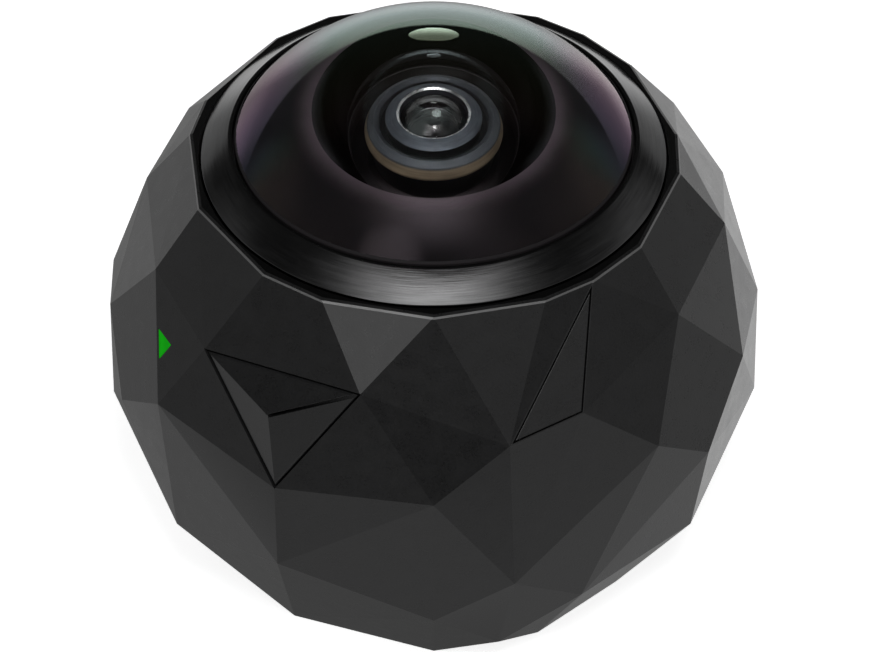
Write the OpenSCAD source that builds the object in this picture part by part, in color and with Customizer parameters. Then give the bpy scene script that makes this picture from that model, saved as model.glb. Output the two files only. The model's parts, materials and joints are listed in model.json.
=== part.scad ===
// Faceted ball camera that sees all round through one large dome lens on top.
// The frame stands on the flat base: the origin is the base centre, +Z is up and the front faces -Y.

/* [Ball] */
// Diameter of the ball through its facet corners
ball_d = 61; // [60:0.5:65]
// Latitude of the corners round the flat top, in degrees
rim_lat = 42.8; // [42.4:0.2:43.6]
// Latitude of the corners round the flat base, in degrees below the equator
base_lat = 47; // [46:0.5:48]
// Depth of the hollow below the facet corners
shell_wall = 4.1; // [3.7:0.1:4.5]
// Thickness of the floor of the shell
floor_t = 3.3; // [3.1:0.1:3.8]
// Chamfer round the flat top
rim_chamfer = 0.25; // [0.1:0.05:0.4]
// Narrowest flat land between the top chamfer and the bezel gap
rim_land = 0.1; // [0.05:0.05:0.4]
// Narrowest flat land between the base corners and the base cover
base_land = 2; // [1.6:0.1:2.4]

/* [Bezel and dome] */
// Gap between the bezel and the shell, and between the bezel and the dome
bezel_gap = 0.2; // [0.1:0.05:0.3]
// Width of the conical bezel face, seen from above
bezel_w = 2.9; // [2.6:0.1:3.2]
// Depth of the bezel's seat below the flat top
bezel_depth = 2.1; // [1.8:0.1:2.4]
// Height of the bezel's inner lip above the flat top
lip_rise = 2.2; // [1.9:0.1:2.6]
// Thickness of the bezel's inner lip
lip_t = 0.95; // [0.8:0.05:1.1]
// Width of the ledge that carries the bezel
ledge_w = 1.5; // [1.2:0.1:1.8]
// Radius of the dome's outer surface
dome_r = 22.2; // [21.5:0.1:23]
// Depth of the dome's edge below the top of the lip
dome_step = 0; // [0:0.05:0.3]
// Thickness of the dome on its axis
dome_t = 1.7; // [1.4:0.1:2.2]
// Radius of the dome's hollow
dome_hollow_r = 9.5; // [9:0.1:10]
// Rise of the dome's conical underside towards its hollow
dome_cone_rise = 2.3; // [1.8:0.1:2.6]
// Thickness of the dome's flange
dome_flange_t = 1.5; // [1.2:0.1:1.8]
// Thickness of the seal under the dome
seal_t = 0.3; // [0.2:0.05:0.5]

/* [Lens barrel] */
// Thickness of the barrel's flange
barrel_flange_t = 2.9; // [2.6:0.1:3.2]
// Diameter of the foot of the sleeve that carries the second lens
sleeve_foot_d = 23.6; // [22:0.1:24]
// Thickness of the sleeve's foot
sleeve_foot_t = 1.8; // [1.4:0.1:2.2]
// Depth of the sleeve's foot below the top of the barrel
sleeve_depth = 5.3; // [4.8:0.1:5.6]
// Height of the sleeve above the top of the barrel
sleeve_rise = 1.6; // [1.3:0.1:1.9]
// Diameter of the second lens's edge
second_lens_d = 10.2; // [9.8:0.1:10.6]
// Clear diameter of the second lens
second_clear_d = 7; // [6.6:0.1:7.4]
// Radius of the second lens's upper surface
second_top_r = 4.5; // [4.3:0.1:5]
// Wall of the barrel
barrel_wall = 1; // [0.8:0.1:1.2]
// Diameter of the ring on the sleeve
cell_ring_d = 15; // [14.4:0.1:15.6]
// Bore of the ring on the sleeve
cell_ring_bore_d = 11.6; // [11.2:0.1:12]
// Diameter of the small lenses in the cell
cell_lens_d = 8.6; // [8.2:0.1:9]
// Clear diameter of the third lens, the first of the cell
front_clear_d = 6; // [5.6:0.1:6.4]
// Depth of the lens cell below the barrel's neck
cell_depth = 8.2; // [7.8:0.1:8.6]
// Fit round lenses and rings
lens_fit = 0.1; // [0.05:0.05:0.15]

/* [Button] */
// Travel of the button
button_travel = 0.5; // [0.3:0.05:0.6]
// Gap round the button
button_gap = 0.2; // [0.15:0.05:0.35]
// Height of the cap's peak above its edges
button_rise = 2; // [1:0.1:2.4]
// Chamfer round the cap
cap_chamfer = 0.15; // [0.1:0.05:0.3]
// Thickness of the cap below its edges
cap_t = 2.6; // [2.2:0.1:2.8]
// Width of the slot in the cap
slot_w = 0.3; // [0.2:0.05:0.5]
// Diameter of the button's stem
stem_d = 3.2; // [2.8:0.1:3.6]
// Lap of the frame's flange round the opening
frame_lap = 2.5; // [2.4:0.05:2.7]
// Thickness of the frame's flange
frame_t = 1.2; // [1:0.1:1.4]
// Running fit of the stem in its frame
stem_fit = 0.06; // [0.04:0.01:0.1]

/* [Base] */
// Thickness of the base cover
cover_t = 1.6; // [1.4:0.1:1.8]
// Thickness of the gasket on the base cover
gasket_t = 0.4; // [0.3:0.05:0.5]
// Bore of the tripod bush, the tapping size of a quarter-inch thread
bush_bore_d = 5.1; // [4.8:0.1:5.4]
// Diameter of the tripod bush
bush_d = 9; // [8.4:0.1:9.6]
// Height of the tripod bush
bush_h = 5.1; // [4.6:0.1:5.1]
// Diameter of a charging contact
contact_d = 2; // [1.6:0.1:2.4]
// Spacing of the charging contacts
contact_pitch = 3.6; // [3.2:0.1:3.8]
// Gap between the flange of the tripod bush and the contacts' carrier
contact_gap = 0.7; // [0.4:0.1:1]
// Diameter of the vibration motor
motor_d = 3.2; // [2.8:0.1:3.2]
// Length of the vibration motor's can
motor_l = 8; // [7:0.5:9]

/* [Inside] */
// Diameter of the chassis posts
post_d = 3.8; // [3.2:0.1:4]
// Thickness of the circuit boards
board_t = 1; // [0.8:0.1:1.2]
// Width of the battery
battery_w = 26; // [24:0.1:28]
// Gap between the battery and the spacers on the posts
battery_gap = 0.25; // [0.2:0.05:0.6]
// Room above the battery for its swelling
battery_room = 1.5; // [1.2:0.1:2]
// Height of the image sensor's board above the main board
board_drop = 4.2; // [3.8:0.1:5]
// Side of the image sensor's board
sensor_board_w = 17; // [16:0.5:18]
// Side of the image sensor
sensor_w = 9; // [8:0.5:10]
// Fit between loose inner pieces
inner_fit = 0.15; // [0.1:0.05:0.2]

/* [Hidden] */
$fn = 96;
// Overshoot of cutting shapes
cut = 1;

// Facet corners: azimuths of the corners on each latitude; 0 is the front, and they grow to the right
rim_az = [0, 26, 39, 55, 83, 97, 125, 141, 154, 180, 206, 221, 250, 263, 290, 318, 334];
base_az = [0, 28, 56, 84, 112, 140, 168, 196, 224, 252, 280, 321];
corner_rows = [
    [rim_lat, rim_az],
    [33, [119, 243]],
    [29, [55, 84, 145, 172, 215, 262]],
    [22.5, [107]],
    [20, [193]],
    [10, [0, 42, 70, 88, 124, 152, 180, 208, 236, 264, 276]],
    [0, [55, 290]],
    [-6, [80, 108, 136, 164, 192, 220, 250, 281]],
    [-10, [14, 332]],
    [-20, [0, 28, 56, 94, 122, 150, 178, 206, 236, 266, 304]],
    [-36, [14]],
    [-base_lat, base_az]
];

ball_r = ball_d / 2;
base_h = ball_r * sin(base_lat);
rim_r = ball_r * cos(rim_lat);
base_r = ball_r * cos(base_lat);
rim_rise = rim_chamfer / 2;
rim_z = base_h + ball_r * sin(rim_lat) + rim_rise;
cavity_r = ball_r - shell_wall;

// A facet corner on the ball
function corner(lat, az) =
    [ball_r * cos(lat) * sin(az), -ball_r * cos(lat) * cos(az), base_h + ball_r * sin(lat)];

// Widest step between neighbouring azimuths of a closed row
function widest(az) =
    max([for (i = [0:len(az) - 1]) (i + 1 < len(az) ? az[i + 1] : az[0] + 360) - az[i]]);

// Corners that the button, the microphone cover and the light share with the facets
button_tri = [corner(26, 312), corner(8, 332), corner(29, 346)];
mic_low = corner(20, 13.5);
mic_mid = corner(22.5, 28);
mic_top = corner(rim_lat, rim_az[2]);
mic_side = corner(rim_lat, rim_az[1]);
mic_tri = [mic_low, mic_mid, mic_top];
light_high = corner(29, 290);
light_low = corner(10, 304);
light_tri = [light_high, light_low, button_tri[0]];
ball_corners = concat(
    [for (row = corner_rows) for (az = row[1]) corner(row[0], az)],
    [for (az = rim_az) [(rim_r - rim_chamfer) * sin(az), -(rim_r - rim_chamfer) * cos(az), rim_z]],
    button_tri, [mic_low, mic_mid, light_high, light_low]
);

// Sizes of every screw
screw_r = 0.55;
screw_gap = 0.05;
screw_head_r = 1;
screw_head_h = 0.6;
screw_slot_l = 1.3;
screw_slot_w = 0.3;

// Sizes round the top opening
opening_r = (rim_r - rim_chamfer) * cos(widest(rim_az) / 2) - rim_land;
bezel_r = opening_r - bezel_gap;
bezel_z = rim_z - bezel_depth;
core_bore_r = opening_r - ledge_w;
lip_r = bezel_r - bezel_w;
lip_z = rim_z + lip_rise;
lip_under = lip_z - lip_t;
lip_flat = 0.35;
bezel_edge = 0.1;

// Sizes of the dome
dome_edge_r = lip_r - bezel_gap;
dome_flange_r = dome_edge_r + 1;
dome_flange_z = lip_under - bezel_gap / 2;
dome_z = dome_flange_z - dome_flange_t;
dome_edge_z = lip_z - dome_step;
dome_centre = dome_edge_z - sqrt(pow(dome_r, 2) - pow(dome_edge_r, 2));
dome_top = dome_centre + dome_r;
dome_hollow_centre = dome_top - dome_t - dome_hollow_r;
seal_w = 1.6;
dome_cone_r = dome_flange_r - seal_w - 0.5;

// Sizes of the barrel and its lenses, from the top down
barrel_z = dome_z - seal_t;
barrel_flange_r = dome_flange_r - 0.1;
barrel_flange_z = barrel_z - barrel_flange_t;
sleeve_foot_r = sleeve_foot_d / 2;
sleeve_z = barrel_z - sleeve_depth;
sleeve_foot_z = sleeve_z + sleeve_foot_t;
sleeve_top = barrel_z + sleeve_rise;
mouth_bore_r = sleeve_foot_r + lens_fit;
mouth_flare = 1.4;
mouth_depth = 1.7;
barrel_r = mouth_bore_r + barrel_wall;
neck_z = sleeve_z - 2.6;
cell_ring_r = cell_ring_d / 2;
cell_ring_bore_r = cell_ring_bore_d / 2;
cell_ring_t = 1;
cell_ring_cone = 0.5;
sleeve_r = cell_ring_r - 0.2;
second_r = second_lens_d / 2;
second_clear_r = second_clear_d / 2;
second_bore_r = second_r + lens_fit;
second_edge_t = 1.5;
second_sink = 0.5;
second_edge_z = sleeve_top - second_sink;
second_z = second_edge_z - second_edge_t;
second_shoulder = 1.4;
second_centre = second_edge_z + second_shoulder - sqrt(pow(second_top_r, 2) - pow(second_clear_r, 2));
second_t = 1.7;
second_hollow_r = second_clear_r - 0.6;
second_hollow_centre = second_centre + second_top_r - second_t - second_hollow_r;
front_ring_t = 2.4;
front_ring_cone = 0.6;
cell_r = cell_lens_d / 2;
cell_bore_r = cell_r + lens_fit;
spigot_r = cell_r + 2.3;
neck_r = spigot_r + lens_fit + barrel_wall;
cell_tube_r = cell_bore_r + barrel_wall;
barrel_end = neck_z - cell_depth;
cell_floor = barrel_end + 0.6;
cell_window_r = cell_r - 1.1;
filter_t = 0.4;
spacer_w = 0.7;
rear_spacer_t = 0.6;
fifth_t = 1.4;
mid_spacer_t = 0.9;
fourth_t = 1.7;
stop_t = 0.3;
third_t = 1.6;
stop_bore_r = 1.1;
fifth_z = cell_floor + filter_t + rear_spacer_t;
fourth_z = fifth_z + fifth_t + mid_spacer_t;
stop_z = fourth_z + fourth_t;
third_z = stop_z + stop_t;
third_edge_z = third_z + third_t;
front_clear_r = front_clear_d / 2;
front_lens_rise = 1.7;
front_lens_r = 5;
cell_bulge = 0.4;

// Sizes of the image sensor's stack
holder_lap = 1.2;
holder_t = 2;
sensor_t = 1;
sensor_board_z = barrel_end - holder_t - board_t;
sensor_screw_at = sensor_board_w / 2 - 1.8;

// Sizes of the base, from the bottom up
base_in_r = base_r * cos(widest(base_az) / 2);
cover_r = base_in_r - base_land;
cover_gap = 0.15;
base_ledge_w = 2.3;
base_ledge_z = cover_t + gasket_t;
base_bore_r = cover_r - base_ledge_w;
gasket_w = 1.6;
base_screw_r = base_bore_r + base_ledge_w / 2 + 0.05;
base_screw_az = [45, 135, 225, 315];
bush_flange_w = 1.4;
bush_flange_r = bush_d / 2 + bush_flange_w;
bush_flange_t = 1.1;
contact_count = 4;
contact_recess = 0.15;
carrier_end = 0.8;
carrier_side = 1;
carrier_l = (contact_count - 1) * contact_pitch + contact_d + 2 * carrier_end;
carrier_w = contact_d + 2 * carrier_side;
carrier_lip = 0.6;
carrier_t = cover_t + 1;
contact_y = bush_flange_r + contact_gap + carrier_w / 2 + carrier_lip;
contact_rise = 0.8;
contact_board_z = carrier_t + contact_rise;
motor_y = -contact_y - 0.3;
motor_r = motor_d / 2;
motor_z = cover_t + 0.3 + motor_r;
motor_shaft_r = 0.35;
motor_x = motor_l / 2 - 1;
weight_l = 2.6;
weight_gap = 0.4;
weight_r = motor_r - 0.1;

// Sizes of the core
core_gap = 0.35;
core_limit_r = cavity_r - core_gap;
foot_r = sqrt(pow(core_limit_r, 2) - pow(base_h - floor_t, 2)) - 0.1;
foot_in_r = base_bore_r - 0.3;
foot_t = 1.6;
post_r = post_d / 2;
post_at = foot_r - 1.2;
post_az = [80, 180, 280];
boss_r = post_r + 0.9;
tray_z = max(bush_h, motor_z + motor_r) + 0.3;
tray_t = 1;
tray_r = foot_r - 0.4;
tray_lip_h = 3;
tray_lip_t = 0.8;
tray_lip_l = 5;
pad_t = 0.3;
pad_margin = 1;
main_board_top = sensor_board_z - board_drop;
main_board_z = main_board_top - board_t;
main_board_r = core_bore_r - 1.4;
// The battery fills the room between the side posts, in front of the back post and under the main board
battery_l = 2 * (post_at * sin(post_az[0]) - boss_r - battery_gap);
battery_y = post_at - boss_r - battery_gap - battery_w / 2;
battery_z = tray_z + tray_t + pad_t;
battery_h = main_board_z - battery_room - battery_z;
tray_lip_at = battery_l / 3;
tray_w = battery_w + 2 * inner_fit + 2 * tray_lip_t;
core_top = barrel_flange_z;
core_ring_t = 2;
core_ring_r = post_at + post_r + 0.4;
core_ring_in_r = barrel_r + 0.6;
connector_h = 1.4;
connector_d = 2.2;
connector_y = sensor_board_w / 2 + 2.6;
flex_t = 0.2;
flex_w = 6;
connector_w = flex_w + 1;
// The chips stand in a row in front of the connector, and the shield can beside it
chip_gap = 1;
processor_w = 11;
processor_h = 1.2;
memory_w = 9;
memory_h = 1;
can_w = 8.6;
can_d = 7.6;
can_h = 1.6;
can_y = connector_y + connector_d / 2 - can_d / 2;
chip_y = can_y - can_d / 2 - chip_gap - processor_w / 2;

// Sizes of the button, measured outwards from the plane of its three corners
button_reach = 0.05;
frame_seat = -cap_t - button_travel - 0.3;
frame_under = frame_seat - frame_t;
stem_r = stem_d / 2;
frame_corner = 0.65;
frame_pocket_gap = 0.2;
frame_tube_in_r = 3.2;
frame_tube_r = frame_tube_in_r + 0.55;
seal_ring_t = 0.6;
seal_ring_r = stem_r + 0.8;
clip_t = 0.5;
clip_r = stem_r + 0.8;
clip_top = frame_under - 0.15;
stem_end = clip_top - clip_t - 1;
plunger_r = 0.9;
plunger_l = 1.5;
switch_w = 4.2;
switch_h = 1.8;
switch_top = stem_end - 0.7;
switch_board_top = switch_top - switch_h;
switch_board_r = frame_tube_in_r + 0.2;
frame_end = switch_board_top - board_t - 0.2;
frame_screw_out = frame_lap - screw_head_r - 0.05;
frame_screw_depth = 1.5;

// Sizes of the microphone, measured outwards from the plane of its cover
mic_land = 0.1;
mic_gap = 0.12;
mic_cover_t = 1.2;
mic_floor = -mic_cover_t - 0.1;
mic_slot_w = 1;
mic_slot_t = 0.4;
mic_duct_r = 1.55;
mic_gasket_bore_r = 0.9;
mic_seat = -2.8;
mic_pocket_r = 3.2;
mic_board_r = mic_pocket_r - 0.1;
mic_w = 3;
mic_d = 2.4;
mic_h = 1;
mic_cut_scale = 1.06;

// Sizes of the status light, measured outwards from the plane of its facet
light_gap = 0.05;
light_seat = -3.6;
light_foot_t = 0.8;
light_foot_r = 2.7;
light_pocket_gap = 0.1;
led_w = 1.6;
led_d = 1;
led_h = 0.6;

// Unit vector
function unit(v) = v / norm(v);

// Middle of a triangle, its outward direction and the two directions in its plane
function middle(t) = (t[0] + t[1] + t[2]) / 3;
function outward(t) =
    let (n = unit(cross(t[1] - t[0], t[2] - t[0])))
    n * (middle(t) - [0, 0, base_h]) > 0 ? n : -n;
function along(t) = unit(t[1] - t[0]);
function across(t) = cross(outward(t), along(t));

// A point, and the triangle itself, in the plane of a triangle
function in_plane(t, p) = [(p - middle(t)) * along(t), (p - middle(t)) * across(t)];
function flat(t) = [for (p = t) in_plane(t, p)];

// A flat triangle drawn in by a distance on every side, towards the centre of its inner circle
function sides(t) = [norm(t[1] - t[2]), norm(t[2] - t[0]), norm(t[0] - t[1])];
function in_centre(t) =
    let (s = sides(t))
    (s[0] * t[0] + s[1] * t[1] + s[2] * t[2]) / (s[0] + s[1] + s[2]);
function in_radius(t) =
    let (s = sides(t), a = t[1] - t[0], b = t[2] - t[0])
    abs(a[0] * b[1] - a[1] * b[0]) / (s[0] + s[1] + s[2]);
function drawn_in(t, d) =
    let (c = in_centre(t), k = 1 - d / in_radius(t))
    [for (p = t) c + (p - c) * k];

button_flat = flat(button_tri);
frame_r = norm(button_flat[0]) + frame_corner;
mic_flat = flat(mic_tri);
light_flat = flat(light_tri);
// The light's window: a low triangle on the facet, with its long side by the upright edge
light_side = 0.04;
light_window = [
    for (at = [[0.43, light_side], [0.67, light_side], [0.55, 0.3]])
    let (on_edge = light_flat[0] + (light_flat[1] - light_flat[0]) * at[0])
    on_edge + (light_flat[2] - on_edge) * at[1]
];
light_middle = (light_window[0] + light_window[1] + light_window[2]) / 3;
// The frame's screws: outside the middle of each side of the opening
frame_screw_spots = [
    for (i = [0:2])
    let (run = unit(button_flat[(i + 1) % 3] - button_flat[i]))
    in_centre(button_flat) + [run[1], -run[0]] * (in_radius(button_flat) + frame_screw_out)
];

// Sets its children on a facet: Z points outwards and the origin is the facet's middle
module on_facet(t) {
    u = along(t);
    v = across(t);
    w = outward(t);
    o = middle(t);
    multmatrix([[u.x, v.x, w.x, o.x], [u.y, v.y, w.y, o.y], [u.z, v.z, w.z, o.z], [0, 0, 0, 1]])
        children();
}

// Upright disc and ring between two heights
module disc(r, z0, z1) {
    translate([0, 0, z0])
        cylinder(r = r, h = z1 - z0);
}

module ring(r_out, r_in, z0, z1) {
    difference() {
        disc(r_out, z0, z1);
        disc(r_in, z0 - cut, z1 + cut);
    }
}

// Upright block centred on the axis
module block(w, d, z0, z1) {
    translate([-w / 2, -d / 2, z0])
        cube([w, d, z1 - z0]);
}

// Triangular prism between two heights
module prism(t, z0, z1) {
    translate([0, 0, z0])
        linear_extrude(z1 - z0)
            polygon(t);
}

// Copies round the axis, at azimuths counted from the front
module around(az_list, r) {
    for (az = az_list)
        translate([r * sin(az), -r * cos(az), 0])
            children();
}

// Crossed slots in a screw's head between two heights
module head_cross(z0, z1) {
    block(screw_slot_l, screw_slot_w, z0, z1);
    block(screw_slot_w, screw_slot_l, z0, z1);
}

// Screw that points up, with its head's underside at z
module screw_up(z, length) {
    disc(screw_r, z, z + length);
    difference() {
        disc(screw_head_r, z - screw_head_h, z);
        head_cross(z - screw_head_h - cut, z - screw_head_h / 3);
    }
}

// Screw that points down, with its head's underside at z
module screw_down(z, length) {
    disc(screw_r, z - length, z);
    difference() {
        disc(screw_head_r, z, z + screw_head_h);
        head_cross(z + screw_head_h / 3, z + screw_head_h + cut);
    }
}

// The faceted ball: the smallest solid that holds all its corners
module faceted_ball() {
    hull()
        polyhedron(points = ball_corners, faces = [[for (i = [0:len(ball_corners) - 1]) i]]);
}

// The shallow fold between the microphone cover and the facet beside it
module microphone_fold() {
    fold = [mic_side, mic_low, mic_mid, mic_top];
    centre = [0, 0, base_h];
    raised = [for (p = fold) centre + (p - centre) * mic_cut_scale];
    points = concat(fold, raised);
    hull()
        polyhedron(points = points, faces = [[for (i = [0:len(points) - 1]) i]]);
}

module body_shell() {
    color([0.16, 0.16, 0.17])
    difference() {
        faceted_ball();
        microphone_fold();
        // Hollow with a flat floor
        intersection() {
            translate([0, 0, base_h])
                sphere(r = cavity_r);
            disc(cavity_r + cut, floor_t, base_h + cavity_r + cut);
        }
        // Top opening with the bezel's ledge
        disc(opening_r, bezel_z, rim_z + cut);
        disc(core_bore_r, base_h, rim_z + cut);
        // Base opening with the cover's ledge
        disc(cover_r + cover_gap, -cut, base_ledge_z);
        disc(base_bore_r, -cut, floor_t + cut);
        around(base_screw_az, base_screw_r)
            disc(screw_r + screw_gap, base_ledge_z - cut, floor_t - 0.15);
        around(post_az, base_screw_r) {
            disc(screw_r + screw_gap, base_ledge_z - cut, floor_t + cut);
            disc(screw_head_r + screw_gap, base_ledge_z - cut, base_ledge_z + screw_head_h);
        }
        // Button opening, with the seat of its frame inside
        on_facet(button_tri) {
            prism(drawn_in(button_flat, -button_reach), frame_seat - cut, button_rise + cut);
            frame_plate(frame_pocket_gap, frame_end, frame_seat);
            for (p = frame_screw_spots)
                translate(p)
                    disc(screw_r + screw_gap, frame_seat - cut, frame_seat + frame_screw_depth + screw_gap);
        }
        // Microphone cover's recess, sound duct and seat
        on_facet(mic_tri) {
            prism(drawn_in(mic_flat, mic_land), mic_floor, cut);
            disc(mic_duct_r, mic_seat - cut, mic_floor + cut);
            disc(mic_pocket_r, mic_seat - 2 * shell_wall, mic_seat);
        }
        // Status light's window and seat
        on_facet(light_tri) {
            prism(light_window, light_seat - cut, cut);
            translate(light_middle)
                disc(light_foot_r + light_pocket_gap, light_seat - 2 * shell_wall, light_seat);
        }
    }
}

// Conical ring that holds the dome down on its seal
module bezel_ring() {
    color([0.1, 0.1, 0.11])
    rotate_extrude()
        polygon([
            [bezel_r, bezel_z], [bezel_r, rim_z + bezel_edge], [lip_r + lip_flat, lip_z], [lip_r, lip_z],
            [lip_r, lip_under], [dome_flange_r + bezel_gap / 2, lip_under],
            [dome_flange_r + bezel_gap / 2, bezel_z]
        ]);
}

// Front lens: a dome with a conical underside and a flange under the bezel's lip
module dome_lens() {
    color([0.25, 0.25, 0.32, 0.6])
    difference() {
        union() {
            intersection() {
                translate([0, 0, dome_centre])
                    sphere(r = dome_r);
                disc(dome_edge_r, dome_z, dome_top + cut);
            }
            disc(dome_flange_r, dome_z, dome_flange_z);
        }
        translate([0, 0, dome_hollow_centre])
            sphere(r = dome_hollow_r);
        translate([0, 0, dome_z])
            cylinder(r1 = dome_cone_r, r2 = dome_hollow_r - lens_fit, h = dome_cone_rise);
    }
}

module dome_seal() {
    color([0.08, 0.08, 0.08])
    ring(barrel_flange_r - bezel_gap, barrel_flange_r - bezel_gap - seal_w, barrel_z, dome_z);
}

// Black barrel: a wide mouth and a neck for the sleeve, and a narrow lens cell
module lens_barrel() {
    color([0.07, 0.07, 0.08])
    difference() {
        union() {
            disc(barrel_flange_r, barrel_flange_z, barrel_z);
            disc(barrel_r, sleeve_z - barrel_wall, barrel_z);
            disc(neck_r, neck_z - barrel_wall, sleeve_z);
            disc(cell_tube_r, barrel_end, neck_z);
        }
        disc(mouth_bore_r, sleeve_z, barrel_z + cut);
        translate([0, 0, barrel_z - mouth_depth])
            cylinder(r1 = mouth_bore_r, r2 = mouth_bore_r + mouth_flare, h = mouth_depth);
        disc(spigot_r + lens_fit, neck_z, sleeve_z + cut);
        disc(cell_bore_r, cell_floor, neck_z + cut);
        disc(cell_window_r, barrel_end - cut, cell_floor + cut);
        around(post_az, post_at) {
            disc(screw_r + screw_gap, barrel_flange_z - cut, barrel_z + cut);
            disc(screw_head_r + screw_gap, barrel_z - 2 * screw_head_h, barrel_z + cut);
        }
    }
}

module barrel_screws() {
    color("silver")
    around(post_az, post_at)
        screw_down(barrel_z - 2 * screw_head_h, barrel_flange_t);
}

// Small bowl-shaped lens in the top of the sleeve
module second_lens() {
    color([0.4, 0.35, 0.55, 0.6])
    difference() {
        union() {
            disc(second_r, second_z, second_edge_z);
            intersection() {
                translate([0, 0, second_centre])
                    sphere(r = second_top_r);
                disc(second_clear_r, second_z, second_centre + second_top_r + cut);
            }
        }
        translate([0, 0, second_hollow_centre])
            sphere(r = second_hollow_r);
        disc(second_hollow_r, second_z - cut, second_hollow_centre);
    }
}

// Sleeve that holds the cell's lenses down and carries the second lens up into the dome
module lens_retainer() {
    color([0.2, 0.2, 0.22])
    rotate_extrude()
        polygon([
            [front_clear_r + lens_fit, third_edge_z], [cell_r, third_edge_z], [cell_r, neck_z],
            [spigot_r, neck_z], [spigot_r, sleeve_z], [sleeve_foot_r, sleeve_z],
            [sleeve_foot_r, sleeve_foot_z], [sleeve_r + barrel_wall, sleeve_foot_z],
            [sleeve_r, sleeve_foot_z + barrel_wall], [sleeve_r, sleeve_top], [second_bore_r, sleeve_top],
            [second_bore_r, second_z], [front_clear_r + lens_fit, second_z]
        ]);
}

// Ring on the sleeve, with a face that rises inwards to a bevelled edge
module cell_ring() {
    color([0.4, 0.45, 0.52])
    rotate_extrude()
        polygon([
            [cell_ring_bore_r, sleeve_top], [cell_ring_r, sleeve_top],
            [cell_ring_r, sleeve_top + cell_ring_t],
            [cell_ring_bore_r + cell_ring_cone, sleeve_top + cell_ring_t + cell_ring_cone],
            [cell_ring_bore_r, sleeve_top + cell_ring_t]
        ]);
}

// Ring that holds the second lens down, with a conical face
module front_ring() {
    color([0.45, 0.5, 0.56])
    rotate_extrude()
        polygon([
            [second_clear_r + lens_fit, second_edge_z], [second_r, second_edge_z],
            [second_r, second_edge_z + front_ring_t - front_ring_cone],
            [second_clear_r + 2 * lens_fit, second_edge_z + front_ring_t],
            [second_clear_r + lens_fit, second_edge_z + front_ring_t]
        ]);
}

module third_lens() {
    color([0.7, 0.75, 0.85, 0.6])
    union() {
        disc(cell_r, third_z, third_edge_z);
        intersection() {
            translate([0, 0, third_edge_z + front_lens_rise - front_lens_r])
                sphere(r = front_lens_r);
            disc(front_clear_r, third_z + third_t / 2, third_edge_z + front_lens_rise + cut);
        }
    }
}

module aperture_stop() {
    color([0.05, 0.05, 0.05])
    ring(cell_r, stop_bore_r, stop_z, third_z);
}

// Round lens of the cell that bulges down by the cap of a sphere
module cell_lens(z0, z1) {
    clear_r = cell_r - spacer_w - lens_fit;
    bulge_r = (pow(clear_r, 2) + pow(cell_bulge, 2)) / (2 * cell_bulge);
    disc(cell_r, z0, z1);
    intersection() {
        translate([0, 0, z0 - cell_bulge + bulge_r])
            sphere(r = bulge_r);
        disc(clear_r, z0 - cell_bulge - cut, (z0 + z1) / 2);
    }
}

module fourth_lens() {
    color([0.7, 0.75, 0.85, 0.6])
    cell_lens(fourth_z, stop_z);
}

module lens_spacer() {
    color([0.1, 0.1, 0.1])
    ring(cell_r, cell_r - spacer_w, fifth_z + fifth_t, fourth_z);
}

module fifth_lens() {
    color([0.7, 0.75, 0.85, 0.6])
    cell_lens(fifth_z, fifth_z + fifth_t);
}

module rear_spacer() {
    color([0.1, 0.1, 0.1])
    ring(cell_r, cell_r - spacer_w, cell_floor + filter_t, fifth_z);
}

module infrared_filter() {
    color([0.5, 0.7, 0.7, 0.6])
    disc(cell_r, cell_floor, cell_floor + filter_t);
}

// Holder that joins the barrel's end to the sensor's board
module sensor_holder() {
    color([0.12, 0.12, 0.13])
    difference() {
        block(sensor_board_w, sensor_board_w, barrel_end - holder_t, barrel_end + holder_lap);
        disc(cell_tube_r + lens_fit / 2, barrel_end, barrel_end + holder_lap + cut);
        block(sensor_w + 0.6, sensor_w + 0.6, barrel_end - holder_t - cut, barrel_end - holder_t / 4);
        disc(cell_window_r, barrel_end - holder_t, barrel_end + cut);
        for (x = [-1, 1], y = [-1, 1])
            translate([x * sensor_screw_at, y * sensor_screw_at, 0])
                disc(screw_r + screw_gap, barrel_end - holder_t - cut, barrel_end);
    }
}

module image_sensor() {
    color([0.15, 0.2, 0.18])
    block(sensor_w, sensor_w, sensor_board_z + board_t, sensor_board_z + board_t + sensor_t);
}

module sensor_board() {
    color([0.05, 0.25, 0.15])
    difference() {
        block(sensor_board_w, sensor_board_w, sensor_board_z, sensor_board_z + board_t);
        for (x = [-1, 1], y = [-1, 1])
            translate([x * sensor_screw_at, y * sensor_screw_at, 0])
                disc(screw_r + screw_gap, sensor_board_z - cut, sensor_board_z + board_t + cut);
    }
}

module sensor_screws() {
    color("silver")
    for (x = [-1, 1], y = [-1, 1])
        translate([x * sensor_screw_at, y * sensor_screw_at, 0])
            screw_up(sensor_board_z, board_t + holder_t - 0.2);
}

// Ribbon from the sensor's board down to the connector on the main board
module sensor_flex() {
    outer = connector_y + flex_t / 2;
    color([0.75, 0.5, 0.15])
    translate([-flex_w / 2, 0, 0])
        rotate([90, 0, 90])
            linear_extrude(flex_w)
                polygon([
                    [sensor_board_w / 4, sensor_board_z], [outer, sensor_board_z],
                    [outer, main_board_top + connector_h], [outer - flex_t, main_board_top + connector_h],
                    [outer - flex_t, sensor_board_z - flex_t], [sensor_board_w / 4, sensor_board_z - flex_t]
                ]);
}

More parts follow.
